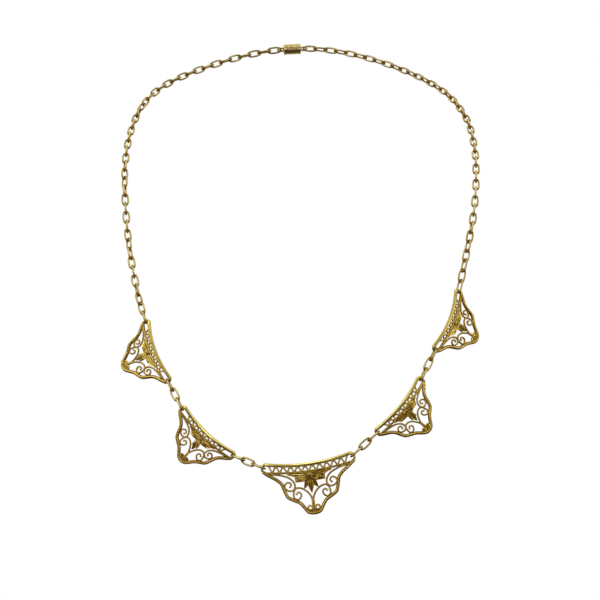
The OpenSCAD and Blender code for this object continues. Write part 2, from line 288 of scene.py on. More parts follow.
# One step of arithmetic in a node tree; what goes in is a socket or a plain value
def compute(nodes, links, kind, operation, *values):
    node = nodes.new(kind)
    node.operation = operation
    for k, value in enumerate(values):
        if hasattr(value, "is_linked"):
            links.new(value, node.inputs[k])
        else:
            node.inputs[k].default_value = value
    return node.outputs[0]


# Stores a number on a shape's points, or on its copies
def storeNumber(nodes, links, shape, label, domain, value):
    node = nodes.new("GeometryNodeStoreNamedAttribute")
    node.data_type = "FLOAT"
    node.domain = domain
    node.inputs["Name"].default_value = label
    links.new(shape, node.inputs["Geometry"])
    links.new(value, node.inputs["Value"])
    return node.outputs[0]


# Stores the level of polish and painted light, which paints shade and highlight into the colour, and
# shades the shape smooth
def polished(nodes, links, shape, level):
    smooth = nodes.new("GeometryNodeSetShadeSmooth")
    links.new(storeNumber(nodes, links, shape, "polish", "POINT", level), smooth.inputs["Geometry"])
    return smooth.outputs[0]


# A node tree that sets one shape on every point of a mesh, turned by the points' own axes
def makeTree(name, sizes, build):
    tree = bpy.data.node_groups.new(name, "GeometryNodeTree")
    face = tree.interface
    face.new_socket("Geometry", in_out="INPUT", socket_type="NodeSocketGeometry")
    for label, value in sizes.items():
        socket = face.new_socket(label, in_out="INPUT", socket_type="NodeSocketFloat")
        socket.default_value = value
    face.new_socket("Seed", in_out="INPUT", socket_type="NodeSocketInt")
    face.new_socket("Material", in_out="INPUT", socket_type="NodeSocketMaterial")
    face.new_socket("Geometry", in_out="OUTPUT", socket_type="NodeSocketGeometry")
    nodes, links = tree.nodes, tree.links
    given = nodes.new("NodeGroupInput")
    shape = build(nodes, links, given)

    def stored(label):
        node = nodes.new("GeometryNodeInputNamedAttribute")
        node.data_type = "FLOAT_VECTOR"
        node.inputs["Name"].default_value = label
        return node.outputs["Attribute"]

    turn = nodes.new("FunctionNodeAxesToRotation")
    turn.primary_axis = "X"
    turn.secondary_axis = "Z"
    place = nodes.new("GeometryNodeInstanceOnPoints")
    chance = nodes.new("FunctionNodeRandomValue")
    chance.data_type = "FLOAT"
    chance.inputs[2].default_value = -1
    real = nodes.new("GeometryNodeRealizeInstances")
    cover = nodes.new("GeometryNodeSetMaterial")
    out = nodes.new("NodeGroupOutput")
    links.new(given.outputs["Geometry"], place.inputs["Points"])
    links.new(shape, place.inputs["Instance"])
    links.new(stored("along"), turn.inputs["Primary Axis"])
    links.new(stored("front"), turn.inputs["Secondary Axis"])
    links.new(turn.outputs[0], place.inputs["Rotation"])
    links.new(stored("stretch"), place.inputs["Scale"])
    links.new(given.outputs["Seed"], chance.inputs["Seed"])
    shaded = storeNumber(nodes, links, place.outputs[0], "shade", "INSTANCE", chance.outputs["Value"])
    links.new(shaded, real.inputs[0])
    links.new(real.outputs[0], cover.inputs["Geometry"])
    links.new(given.outputs["Material"], cover.inputs["Material"])
    links.new(cover.outputs[0], out.inputs[0])
    return tree


# Runs a tree on points and returns the plain mesh
def setOnPoints(name, tree, points, along, front, stretch, values, seed, material):
    mesh = bpy.data.meshes.new(name + " points")
    mesh.from_pydata([tuple(p) for p in points], [], [])
    for label, rows in (("along", along), ("front", front), ("stretch", stretch)):
        layer = mesh.attributes.new(label, "FLOAT_VECTOR", "POINT")
        layer.data.foreach_set("vector", np.asarray(rows, np.float32).reshape(-1))
    obj = bpy.data.objects.new(name, mesh)
    scene.collection.objects.link(obj)
    modifier = obj.modifiers.new("repeat", "NODES")
    modifier.node_group = tree
    sockets = {s.name: s.identifier for s in tree.interface.items_tree if s.in_out == "INPUT"}
    for label, value in values.items():
        modifier[sockets[label]] = value
    modifier[sockets["Seed"]] = seed
    modifier[sockets["Material"]] = material
    depsgraph = bpy.context.evaluated_depsgraph_get()
    made = bpy.data.meshes.new_from_object(obj.evaluated_get(depsgraph), depsgraph=depsgraph)
    obj.modifiers.clear()
    obj.data = made
    made.name = name
    bpy.data.meshes.remove(mesh)
    return obj


# The chains and the links between the plaques: one oval link on every CAD link
link = {
    "length": 5.05, "width": 2.5, "wire": 0.64, "squareness": 2.5, "sections": 36, "wireSides": 10,
    # the long sides get a painted highlight and the ends, where neighbours interlock, painted shade: share
    # of the half length, level of polish and painted light
    "side": (0.5, 0.85), "end": (0.95, 0.08)}
linkSizes = {
    "Length": link["length"] * mm, "Width": link["width"] * mm, "Wire": link["wire"] * mm,
    "Squareness": link["squareness"]}


def buildLink(nodes, links, given):
    def number(*step):
        return compute(nodes, links, "ShaderNodeMath", *step)

    def vector(*step):
        return compute(nodes, links, "ShaderNodeVectorMath", *step)

    circle = nodes.new("GeometryNodeCurvePrimitiveCircle")
    circle.inputs["Resolution"].default_value = link["sections"]
    circle.inputs["Radius"].default_value = 1
    where = nodes.new("GeometryNodeInputPosition")
    power = number("DIVIDE", 2.0, given.outputs["Squareness"])
    halfLong = number("MULTIPLY", number("SUBTRACT", given.outputs["Length"], given.outputs["Wire"]), 0.5)
    halfWide = number("MULTIPLY", number("SUBTRACT", given.outputs["Width"], given.outputs["Wire"]), 0.5)
    size = nodes.new("ShaderNodeCombineXYZ")
    links.new(halfLong, size.inputs[0])
    links.new(halfWide, size.inputs[1])
    powers = nodes.new("ShaderNodeCombineXYZ")
    for k in range(3):
        links.new(power, powers.inputs[k])
    bent = vector("POWER", vector("ABSOLUTE", where.outputs[0]), powers.outputs[0])
    oval = vector("MULTIPLY", vector("MULTIPLY", bent, vector("SIGN", where.outputs[0])), size.outputs[0])
    move = nodes.new("GeometryNodeSetPosition")
    links.new(circle.outputs["Curve"], move.inputs["Geometry"])
    links.new(oval, move.inputs["Position"])
    ring = nodes.new("GeometryNodeCurvePrimitiveCircle")
    ring.inputs["Resolution"].default_value = link["wireSides"]
    links.new(number("MULTIPLY", given.outputs["Wire"], 0.5), ring.inputs["Radius"])
    tube = nodes.new("GeometryNodeCurveToMesh")
    links.new(move.outputs[0], tube.inputs["Curve"])
    links.new(ring.outputs["Curve"], tube.inputs["Profile Curve"])
    apart = nodes.new("ShaderNodeSeparateXYZ")
    links.new(where.outputs[0], apart.inputs[0])
    fade = mapRange(nodes, *zip(link["side"], link["end"]))
    fade.interpolation_type = "SMOOTHSTEP"
    links.new(number("DIVIDE", number("ABSOLUTE", apart.outputs[0]), halfLong), fade.inputs["Value"])
    return polished(nodes, links, tube.outputs[0], fade.outputs[0])


linkTree = makeTree("oval links", linkSizes, buildLink)


def makeLinks(name, nodeNames, seed):
    axes = [axesOf(points) for node in nodeNames for points in solidsOf(node)]
    obj = setOnPoints(name, linkTree, [a[0] for a in axes], [a[1] for a in axes], [a[2] for a in axes],
        [(1, 1, 1)] * len(axes), linkSizes, seed, chainGold)
    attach(obj, "root")
    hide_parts(*nodeNames)
    print(name, len(axes), "links")


# The last number is the seed of the links' shades
makeLinks("chain_left_links", ["chain_left"], 1)
makeLinks("chain_right_links", ["chain_right"], 2)
for side in ("left", "right"):
    makeLinks("plaque_links_" + side, ["link_%s_%d" % (side, k) for k in range(1, 7)], 3)


# Plaques. Each is drawn flat on a grid, u along the bar and v down, then bent and placed. Outlines are
# in units of the grid, and wires, heights and layers in millimetres.
plaques = {
    # middle of the bar, turns about Y, Z and X (the last one first), width of the bar
    "plaque_outer_left": {"at": (-44.3, -98.1, -101), "turns": (68.3, -23.5, 14.5), "width": 21.4},
    "plaque_mid_left": {"at": (-28.3, -107.3, -125.7), "turns": (43, -2.5, 7), "width": 21.4},
    "plaque_center": {"at": (1.8, -112.6, -134.3), "turns": (-8, -1, 0), "width": 27.6},
    "plaque_mid_right": {"at": (29.3, -108, -117.5), "turns": (-50.5, 8, 4), "width": 21.4},
    "plaque_outer_right": {"at": (44.7, -99, -91.7), "turns": (-67, 23.5, 26.5), "width": 21.4}}
sheet = {"grid": 92, "bend": 45}  # the bar's width in units of the grid, the bend's radius in millimetres


# A smooth curve through points
def smoothLine(points, steps):
    p = np.asarray(points, float)
    p = np.vstack([2 * p[0] - p[1], p, 2 * p[-1] - p[-2]])
    out = []
    for i in range(len(p) - 3):
        a, b, c, d = p[i:i + 4]
        for k in range(steps):
            t = k / steps
            bow = (2 * a - 5 * b + 4 * c - d) * t * t
            out.append((2 * b + (c - a) * t + bow + (3 * b - a - 3 * c + d) * t ** 3) / 2)
    out.append(p[-2])
    return np.array(out)


# A line that ends at the middle, and its mirror image
def mirrored(line):
    back = line[:-1] if line[-1][0] == 0 else line
    return line + [(-u, v) for u, v in reversed(back)]


# Cross-sections of a line: side from -1 to 1, height from 0 at the back to 1 in front, level of polish and
# painted light, whose low levels paint shade and high levels a highlight
def flatBack(side, level):
    return [(-side, 0, level), (side, 0, level)]


# A round wire's section: a painted highlight on its crest, fading to painted shade at its edges
def roundSection(sides, edge, crest, shoulder=0.4, fall=1.3):
    rows = [(1, 0, 0.1)]
    for k in range(sides + 1):
        a = math.pi * k / sides
        s = math.cos(a)
        level = crest + (edge - crest) * min(1, abs(s) * fall)
        rows.append((s, shoulder + (1 - shoulder) * math.sin(a), level))
    return rows + [(-1, 0, 0.1)] + flatBack(0.8, 0.4)


# Faces of a tube from the rings of its points, open, closed to a loop or capped at both ends
def tubeFaces(rings, sides, start=0, closed=False, capped=False):
    faces = []
    for i in range(rings if closed else rings - 1):
        a, b = start + i * sides, start + ((i + 1) % rings) * sides
        for k in range(sides):
            l = (k + 1) % sides
            faces.append((a + k, b + k, b + l, a + l))
    if capped:
        faces.append(tuple(range(start, start + sides)))
        faces.append(tuple(range(start + rings * sides - 1, start + (rings - 1) * sides - 1, -1)))
    return faces


# Rounded ends: shares of the half width at which they have sections, their least width and height
ends = {"steps": [0.35, 0.7, 0.92, 1.0], "least": 0.06, "flat": 0.4}


# Adds the sections of both ends to an open line
def roundEnds(path, way, width, back, front):
    shrink = [max(ends["least"], math.sqrt(1 - s * s)) for s in ends["steps"]]
    lower = [ends["flat"] + (1 - ends["flat"]) * s for s in shrink]
    even = [1] * len(shrink)

    def longer(values, shares):
        first = [values[0] * s for s in reversed(shares)]
        return np.concatenate([first, values, [values[-1] * s for s in shares]])

    lead = [path[0] - way[0] * width[0] / 2 * s for s in reversed(ends["steps"])]
    trail = [path[-1] + way[-1] * width[-1] / 2 * s for s in ends["steps"]]
    path = np.vstack([lead, path, trail])
    middle, half = longer((front + back) / 2, even), longer((front - back) / 2, lower)
    return path, longer(way, even), longer(width, shrink), middle - half, middle + half


class Shells:
    # The closed shells of one plaque, in flat millimetres: x along the bar, y down it, z to the front
    def __init__(self, kind, width):
        self.kind, self.unit = kind, width / sheet["grid"]
        self.wire = min(scrolls["wire"], scrolls["widest"] * self.unit)
        self.points, self.faces, self.polish, self.starts = [], [], [], []

    def add(self, points, faces, polish):
        start = len(self.points)
        self.starts.append(len(self.faces))
        self.points += [tuple(p) for p in points]
        self.faces += [tuple(start + i for i in f) for f in faces]
        self.polish += list(polish)

    # A line of the given section along a flat path; a closed one has no ends
    def sweep(self, path, width, back, front, section, closed=False):
        path = np.asarray(path, float)
        width, back, front = (np.broadcast_to(value, (len(path),)) for value in (width, back, front))
        if closed:
            way = np.roll(path, -1, 0) - np.roll(path, 1, 0)
        else:
            way = np.vstack([path[1:2] - path[:1], path[2:] - path[:-2], path[-1:] - path[-2:-1]])
        way /= np.linalg.norm(way, axis=1)[:, None]
        if not closed:
            path, way, width, back, front = roundEnds(path, way, width, back, front)
        side = np.stack([-way[:, 1], way[:, 0]], 1)
        points, polish = [], []
        for i in range(len(path)):
            for s, h, level in section:
                p = path[i] + side[i] * width[i] / 2 * s
                points.append((p[0], p[1], back[i] + (front[i] - back[i]) * h))
                polish.append(level)
        self.add(points, tubeFaces(len(path), len(section), closed=closed, capped=not closed), polish)

    # A turned form about the sheet's own normal; rows of share of the radius, height and level of polish
    # and painted light
    def turned(self, center, radius, rows, sides):
        points, polish, faces = [], [], []
        for share, z, level in rows[1:-1]:
            r = radius * share
            for k in range(sides):
                a = 2 * math.pi * k / sides
                points.append((center[0] + r * math.cos(a), center[1] + r * math.sin(a), z))
                polish.append(level)
        count = len(rows) - 2
        for i in range(count - 1):
            for k in range(sides):
                l = (k + 1) % sides
                faces.append((i * sides + k, i * sides + l, (i + 1) * sides + l, (i + 1) * sides + k))
        first, last = len(points), len(points) + 1
        points += [(center[0], center[1], rows[0][1]), (center[0], center[1], rows[-1][1])]
        polish += [rows[0][2], rows[-1][2]]
        for k in range(sides):
            l = (k + 1) % sides
            faces.append((first, l, k))
            faces.append((last, (count - 1) * sides + k, (count - 1) * sides + l))
        self.add(points, faces, polish)

    # A flat piece with upright walls; its layer and its level of polish and painted light are given as
    # back and front
    def slab(self, outline, layer, polish):
        n = len(outline)
        faces = [tuple(range(n)), tuple(range(2 * n - 1, n - 1, -1))]
        faces += [(k, n + k, n + (k + 1) % n, (k + 1) % n) for k in range(n)]
        points = [(x, y, z) for z in layer for x, y in outline]
        self.add(points, faces, [polish[0]] * n + [polish[1]] * n)

    # A ribbed leaf from its base to its tip
    def leaf(self, base, tip, bend, width, front, shine):
        base, tip = np.asarray(base, float), np.asarray(tip, float)
        along = tip - base
        across = np.array([-along[1], along[0]]) / np.linalg.norm(along)
        ridges = palmette["ridges"]
        ridges = ridges + [(-s, h, level) for s, h, level in reversed(ridges)] + flatBack(0.85, 0.4)
        back, low, steps = palmette["back"], palmette["low"], palmette["steps"]
        gap, (swellStart, swellSpeed) = palmette["endGap"], palmette["swell"]
        points, polish = [], []
        for i in range(steps + 1):
            t = gap + (1 - 2 * gap) * i / steps
            middle = base + along * t + across * bend * 4 * t * (1 - t)
            half = width / 2 * math.sin(math.pi * t ** palmette["belly"])
            rise = math.sin(math.pi * min(1, swellStart + swellSpeed * t))
            lift = low + (front - low) * (palmette["tipLift"] + (1 - palmette["tipLift"]) * rise)
            for s, h, level in ridges:
                p = middle + across * half * s
                points.append((p[0], p[1], back + (lift - back) * h))
                polish.append(level * shine)
        self.add(points, tubeFaces(steps + 1, len(ridges), capped=True), polish)


# Bar, end rings and sill are one closed line round the strip. The bar's broad facet leans to
# its outer side. The first row is in units of the grid, with a ring's u, v and radius.
border = {
    "ring": (42.6, 2.6, 4.3), "barSag": 4.7, "sillSag": 3.1,
    "barWidth": 1.04, "barBack": -0.32, "barFront": 0.5,
    "sillWidth": 0.64, "ringWall": {"side": 0.66, "center": 0.74}, "plate": 0.28,
    "widthFade": 3, "heightFade": 2.5,  # how fast the bar thins down into the rings
    "barSteps": 48, "ringSteps": 16}
# The section of bar, rings and sill paints shade on the side towards the strip and a highlight on the
# outer facet
barSection = [
    (1, 0, 0), (1, 0.35, 0), (0.85, 0.62, 0.1), (0.6, 0.86, 0.3), (0.3, 1, 0.6), (0, 0.97, 0.85),
    (-0.35, 0.88, 1), (-0.7, 0.74, 1), (-0.92, 0.58, 0.9), (-1, 0.4, 0.6), (-1, 0, 0.3)]
barSection += flatBack(0.85, 0.45)


def barV(u):
    ringU, ringV, ringR = border["ring"]
    return ringV - ringR + border["barSag"] * (1 - (u / ringU) ** 2)


def sillV(u):
    ringU, ringV, ringR = border["ring"]
    return ringV + ringR + border["sillSag"] * (1 - (u / ringU) ** 2)


def addBorder(shells):
    ringU, ringV, ringR = border["ring"]
    wall, plate = border["ringWall"][shells.kind], border["plate"]
    barWidth, barFront = border["barWidth"], border["barFront"]

    # The line at an angle on a ring's outer half, from 90 at the bar to -90 at the sill
    def ringRow(side, angle):
        a, t = math.radians(angle), (90 - angle) / 180
        return (side * (ringU + ringR * math.cos(a)), ringV - ringR * math.sin(a),
            wall + (barWidth - wall) * max(0, 1 - border["widthFade"] * t), -plate,
            plate + (barFront - plate) * max(0, 1 - border["heightFade"] * t))

    across = np.linspace(-ringU, ringU, border["barSteps"] + 1)
    angles = np.linspace(90, -90, border["ringSteps"] + 1)[1:-1]
    # u, v, width, back, front
    rows = [(u, barV(u), barWidth, border["barBack"], barFront) for u in across]
    rows += [ringRow(1, a) for a in angles]
    rows += [(u, sillV(u), border["sillWidth"], -plate, plate) for u in across[::-1]]
    rows += [ringRow(-1, a) for a in angles[::-1]]
    u, v, width, back, front = np.array(rows).T
    shells.sweep(np.stack([u, v], 1) * shells.unit, width, back, front, barSection, closed=True)


# The scalloped rim from the left corner over the point to the right corner, half round
rim = {
    "width": 1.02, "back": -0.32, "front": 0.42, "steps": 5,
    "center": [
        (45.4, 6), (40.6, 9.9), (33.4, 15), (29, 19.8), (27.5, 25.1), (26, 30.1), (24.2, 33.9),
        (19.1, 37.2), (13.9, 40.1), (11, 43.2), (8.5, 47.1), (6.2, 50.5), (3, 51.9), (0, 52.1)],
    "side": [
        (45.4, 6), (41.4, 9.9), (34.6, 15), (30.7, 19.8), (28.6, 25.1), (26.7, 30.1), (24.3, 33.9),
        (19.5, 37.2), (15, 40.2), (11.9, 43.3), (8.7, 47.1), (5.6, 50.4), (2.4, 51.9), (0, 52.1)]}
# The rim's section paints shade along its inner side and in a band near its outer edge, and a highlight on
# its crest
rimSection = [
    (1, 0, 0), (1, 0.3, 0), (0.8, 0.55, 0.05), (0.45, 0.8, 0.4), (0.1, 0.96, 0.68), (-0.2, 1, 0.65),
    (-0.4, 0.97, 0.4), (-0.55, 0.92, 0.05), (-0.82, 0.73, 0), (-1, 0.4, 0.25), (-1, 0, 0.35)]
rimSection += flatBack(0.85, 0.45)


def addRim(shells):
    path = smoothLine(mirrored(rim[shells.kind]), rim["steps"]) * shells.unit
    shells.sweep(path, rim["width"], rim["back"], rim["front"], rimSection)


# Two pairs of scrolls, each ending in a curl. Their wire is no thicker than the widest, in units.
scrolls = {
    "wire": 0.56, "widest": 2.2, "half": 0.25, "taper": (1.08, 0.95), "steps": 6,
    "upper": [
        (38.5, 8.6), (35, 9.3), (31, 10.2), (26, 11.9), (21, 14.4), (17.4, 18.2), (16, 22), (16.9, 25.7),
        (20, 27.6), (23.8, 26.7), (26.4, 23.7), (25.7, 20.5), (23, 18.8), (20.6, 19.6), (19.7, 21.7),
        (21, 23.4)],
    "lower": {
        "center": [
            (0, 41), (1.1, 36), (3.7, 31.2), (7.5, 27.6), (11.5, 25.6), (15.2, 25.6), (17.4, 27.7),
            (18.5, 31.2), (18.2, 35), (15.4, 37), (12.5, 35.9), (10.9, 33.1), (11.6, 30.6), (13.8, 29.7),
            (15.5, 31.1)],
        "side": [
            (0, 41), (1, 36), (3.4, 31), (6.6, 26.8), (10.6, 24.2), (14.6, 24.4), (17.2, 27),
            (18.4, 31), (18.1, 34.9), (14.9, 36.7), (11.8, 35.4), (10.1, 32.5), (10.9, 29.9), (13.1, 29),
            (14.8, 30.4)]},
    "curl": 1.3, "curlSides": 16,
    # share of the radius, height in millimetres, level of polish and painted light: a highlight on top,
    # shade at the foot
    "curlRows": [
        (0, -0.25, 0.4), (0.9, -0.25, 0.4), (1, -0.075, 0.3), (1, 0.075, 0.5), (0.8, 0.2125, 0.8),
        (0.4, 0.2875, 0.9), (0, 0.3, 0.9)]}
# The scroll wire's section: a painted highlight on its crest, painted shade towards its edges
scrollSection = roundSection(8, 0.25, 0.6)


def addScrolls(shells):
    half = scrolls["half"]
    for s in (1, -1):
        for line in (scrolls["upper"], scrolls["lower"][shells.kind]):
            path = smoothLine([(s * u, v) for u, v in line], scrolls["steps"]) * shells.unit
            width = np.linspace(*scrolls["taper"], len(path)) * shells.wire
            shells.sweep(path, width, -half, half, scrollSection)
            curl = shells.wire * scrolls["curl"] / 2
            shells.turned(path[-1], curl, scrolls["curlRows"], scrolls["curlSides"])


# Palmette: leaves on a pierced web, with a boss
palmette = {
    "back": -0.31, "low": 0.12, "front": 0.6, "stepDown": 0.04, "steps": 22,
    # along a leaf: gap at its ends, belly towards its base (under 1), height at its tip, how it swells
    "endGap": 0.01, "belly": 0.85, "tipLift": 0.35, "swell": (0.25, 0.8),
    "leaves": {
        # tip u, tip v, bend, width, share of the polish and painted light: a smaller share paints the leaf
        # in shade
        "center": [
            (0, 32.3, 0, 6.4, 0.5), (7.6, 27.4, 0.5, 5.4, 0.5), (14.8, 19, 0.5, 4.2, 0.8),
            (15.6, 15.2, 0.2, 4.8, 1), (23.5, 10.9, -0.4, 6.4, 1)],
        "side": [
            (0, 32.4, 0, 8, 0.8), (4.6, 27.4, 0.4, 5, 0.9), (13.5, 17.8, 0.5, 4.4, 1),
            (15.8, 14.8, 0.2, 4.8, 1), (22.6, 11.1, -0.4, 6.8, 1)]},
    # half of a leaf's cross-section, from its edge to its midrib, with a painted highlight on the ridges
    # and painted shade in the groove
    "ridges": [
        (1, 0, 0.2), (1, 0.5, 0.5), (0.84, 0.74, 0.95), (0.6, 0.76, 0.8), (0.34, 0.58, 0.2),
        (0.18, 0.8, 0.7), (0.07, 1, 1)],
    "web": {
        "center": [(16.4, 9), (15.4, 13), (15, 19.8), (6, 20), (2, 23)],
        "side": [(20.4, 9.4), (17.8, 13.4), (15.2, 17.8), (6, 18.7), (2, 23)]},
    # the web is darker behind than in front: painted shade on its back
    "webLayer": (-0.27, 0.05), "webPolishAndLight": (0.45, 0.75),
    "bossV": 13.7, "bossRadius": 2.3, "bossSides": 24,
    # the boss: painted shade in its hollow middle and at its back edge, a painted highlight on its raised
    # ring
    "bossRows": [
        (0, 0.3, 0), (0.3, 0.3, 0), (0.42, 0.55, 0.5), (0.62, 0.75, 1), (0.84, 0.675, 0.9), (1, 0.45, 0.4),
        (1, -0.33, 0.1), (0.85, -0.33, 0.4), (0, -0.33, 0.4)]}


def addPalmette(shells):
    unit = shells.unit
    base = (0, palmette["bossV"] * unit)
    for rank, (tipU, tipV, bend, width, shine) in enumerate(palmette["leaves"][shells.kind]):
        front = palmette["front"] - palmette["stepDown"] * rank
        for s in ((1,) if tipU == 0 else (-1, 1)):
            shells.leaf(base, (s * tipU * unit, tipV * unit), s * bend * unit, width * unit, front, shine)
    web = [(u * unit, v * unit) for u, v in mirrored(palmette["web"][shells.kind])]
    shells.slab(web, palmette["webLayer"], palmette["webPolishAndLight"])
    shells.turned(base, palmette["bossRadius"] * unit, palmette["bossRows"], palmette["bossSides"])


# Foot: a double stem with a ring at each side, which is a bead on the side plaques, and the solid point
foot = {
    "back": -0.27, "front": 0.29,
    "stem": (38, 52, 3.3), "overlap": 1.02,  # top, bottom, width
    "ring": (3.8, 46.6, 2.2), "ringSteps": 24,  # u, v, radius
    # the bead: a painted highlight on its crown, painted shade round its hole
    "beadRows": [
        (0, -0.27, 0.4), (0.95, -0.27, 0.4), (1, 0, 0.2), (0.85, 0.232, 0.6), (0.5, 0.29, 0.8),
        (0.3, 0.116, 0.1), (0, 0.087, 0.1)],
    "beadSides": 16,
    # the point is darker in front than behind: painted shade on its face
    "point": [(-6.9, 48.8), (-5.4, 50.6), (-2.6, 52.2)], "pointFront": 0.145, "pointPolishAndLight": (0.4, 0.2)}
footSection = roundSection(6, 0.4, 0.8)


def addFoot(shells):
    unit, back, front = shells.unit, foot["back"], foot["front"]
    top, bottom, width = foot["stem"]
    u, v, r = foot["ring"]
    for s in (-1, 1):
        stem = np.array([(s * width / 4, top), (s * width / 4, bottom)]) * unit
        shells.sweep(stem, width / 2 * unit * foot["overlap"], back, front, footSection)
        if shells.kind == "center":
            turns = np.linspace(0, 2 * math.pi, foot["ringSteps"] + 1)[:-1]
            ring = np.array([(s * u + r * math.cos(a), v + r * math.sin(a)) for a in turns]) * unit
            shells.sweep(ring, shells.wire, back, front, footSection, closed=True)
        else:
            bead = r * unit + shells.wire / 2
            shells.turned((s * u * unit, v * unit), bead, foot["beadRows"], foot["beadSides"])
    point = [(pointU * unit, pointV * unit) for pointU, pointV in mirrored(foot["point"])]
    shells.slab(point, (back, foot["pointFront"]), foot["pointPolishAndLight"])


# The strip's zigzag wires and grains repeat along the bar: a wire one millimetre long and a low bead.
# A tooth's length and the grains' drop from the bar are in units of the grid.
strip = {
    "tooth": {"side": 4.7, "center": 3.65}, "teeth": {"side": 7, "center": 11},
    "wire": 0.54, "grain": 0.76, "grainDrop": 2, "middle": 0.005, "height": 0.61, "polish": (0.05, 0.75),
    "wireSides": 10, "grainRings": 7, "grainSides": 12, "wireSeed": 5, "grainSeed": 6}
wireSizes = {"Width": strip["wire"] * mm, "Height": strip["height"] * mm}
grainSizes = {"Width": strip["grain"] * mm, "Height": strip["height"] * mm}


# Polish and painted light that grow from the middle of a shape's height to its top: painted shade low on
# the wires and grains, a painted highlight on top
def crown(nodes, links, shape, height):
    where = nodes.new("GeometryNodeInputPosition")
    apart = nodes.new("ShaderNodeSeparateXYZ")
    level = mapRange(nodes, (0, 1), strip["polish"])
    links.new(where.outputs[0], apart.inputs[0])
    links.new(apart.outputs["Z"], level.inputs["Value"])
    links.new(compute(nodes, links, "ShaderNodeMath", "MULTIPLY", height, 0.5), level.inputs["From Max"])
    return polished(nodes, links, shape, level.outputs[0])


def buildWire(nodes, links, given):
    line = nodes.new("GeometryNodeCurvePrimitiveLine")
    line.inputs["Start"].default_value = (-0.5 * mm, 0, 0)
    line.inputs["End"].default_value = (0.5 * mm, 0, 0)
    ring = nodes.new("GeometryNodeCurvePrimitiveCircle")
    ring.inputs["Resolution"].default_value = strip["wireSides"]
    ring.inputs["Radius"].default_value = 0.5
    size = nodes.new("ShaderNodeCombineXYZ")
    links.new(given.outputs["Width"], size.inputs["X"])
    links.new(given.outputs["Height"], size.inputs["Y"])
    flat = nodes.new("GeometryNodeTransform")
    links.new(ring.outputs["Curve"], flat.inputs["Geometry"])
    links.new(size.outputs[0], flat.inputs["Scale"])
    upright = nodes.new("GeometryNodeSetCurveNormal")
    upright.mode = "Z_UP"
    tube = nodes.new("GeometryNodeCurveToMesh")
    tube.inputs["Fill Caps"].default_value = True
    links.new(line.outputs[0], upright.inputs["Curve"])
    links.new(upright.outputs[0], tube.inputs["Curve"])
    links.new(flat.outputs[0], tube.inputs["Profile Curve"])
    return crown(nodes, links, tube.outputs[0], given.outputs["Height"])


def buildGrain(nodes, links, given):
    ball = nodes.new("GeometryNodeMeshUVSphere")
    ball.inputs["Segments"].default_value = strip["grainSides"]
    ball.inputs["Rings"].default_value = strip["grainRings"]
    ball.inputs["Radius"].default_value = 0.5
    size = nodes.new("ShaderNodeCombineXYZ")
    links.new(given.outputs["Width"], size.inputs["X"])
    links.new(given.outputs["Width"], size.inputs["Y"])
    links.new(given.outputs["Height"], size.inputs["Z"])
    flat = nodes.new("GeometryNodeTransform")
    links.new(ball.outputs["Mesh"], flat.inputs["Geometry"])
    links.new(size.outputs[0], flat.inputs["Scale"])
    return crown(nodes, links, flat.outputs[0], given.outputs["Height"])


wireTree = makeTree("strip wires", wireSizes, buildWire)
grainTree = makeTree("strip grains", grainSizes, buildGrain)


# Turns round the shells whose faces point inwards
def faceOutwards(points, faces, starts):
    out = []
    for a, b in zip(starts, starts[1:] + [len(faces)]):
        shell = faces[a:b]
        middle = points[shell[0][0]]
        volume = 0
        for f in shell:
            p = points[list(f)] - middle
            volume += (p[0] * np.cross(p[1:-1], p[2:])).sum()
        out += [tuple(reversed(f)) for f in shell] if volume < 0 else shell
    return out


def turnAbout(points, axis, degrees):
    a = math.radians(degrees)
    c, s = math.cos(a), math.sin(a)
    x, y, z = points[:, 0], points[:, 1], points[:, 2]
    if axis == "x":
        return np.stack([x, y * c - z * s, y * s + z * c], 1)
    if axis == "y":
        return np.stack([x * c + z * s, y, z * c - x * s], 1)
    return np.stack([x * c - y * s, x * s + y * c, z], 1)


# Flat millimetres to their place in the frame, in metres
def bendAndPlace(points, plaque):
    p = np.asarray(points, float)
    r = sheet["bend"]
    depth = r - np.sqrt((r + p[:, 2]) ** 2 - p[:, 0] ** 2)
    q = np.stack([p[:, 0], depth, -p[:, 1]], 1)
    for axis, degrees in zip("xzy", reversed(plaque["turns"])):
        q = turnAbout(q, axis, degrees)
    return (q + np.asarray(plaque["at"], float)) * mm


# The wires of the zigzag and the grains in its upper corners, as two objects
def makeStrip(name, plaque, kind, unit):
    tooth, teeth, middle = strip["tooth"][kind], strip["teeth"][kind], strip["middle"]
    starts, stops, grains = [], [], []
    for k in range(-teeth, teeth):
        up = abs(k) % 2 == 1
        a, b = k * tooth, (k + 1) * tooth
        starts.append((a * unit, (barV(a) if up else sillV(a)) * unit, middle))
        stops.append((b * unit, (sillV(b) if up else barV(b)) * unit, middle))
        if up and abs(k) < teeth:
            grains.append((a * unit, (barV(a) + strip["grainDrop"]) * unit, middle))
    starts, stops, grains = np.array(starts), np.array(stops), np.array(grains)
    along = bendAndPlace(stops, plaque) - bendAndPlace(starts, plaque)
    places = (bendAndPlace(starts, plaque) + bendAndPlace(stops, plaque)) / 2
    front = bendAndPlace((starts + stops) / 2 + (0, 0, 1), plaque) - places
    stretch = [(np.linalg.norm(way) / mm, 1, 1) for way in along]
    wires = setOnPoints(name + " wires", wireTree, places, along, front, stretch, wireSizes,
        strip["wireSeed"], plaqueGold)
    places = bendAndPlace(grains, plaque)
    front = bendAndPlace(grains + (0, 0, 1), plaque) - places
    along = bendAndPlace(grains + (1, 0, 0), plaque) - places
    stretch = [(1, 1, 1)] * len(places)
    beads = setOnPoints(name + " grains", grainTree, places, along, front, stretch, grainSizes,
        strip["grainSeed"], plaqueGold)
    return wires, beads


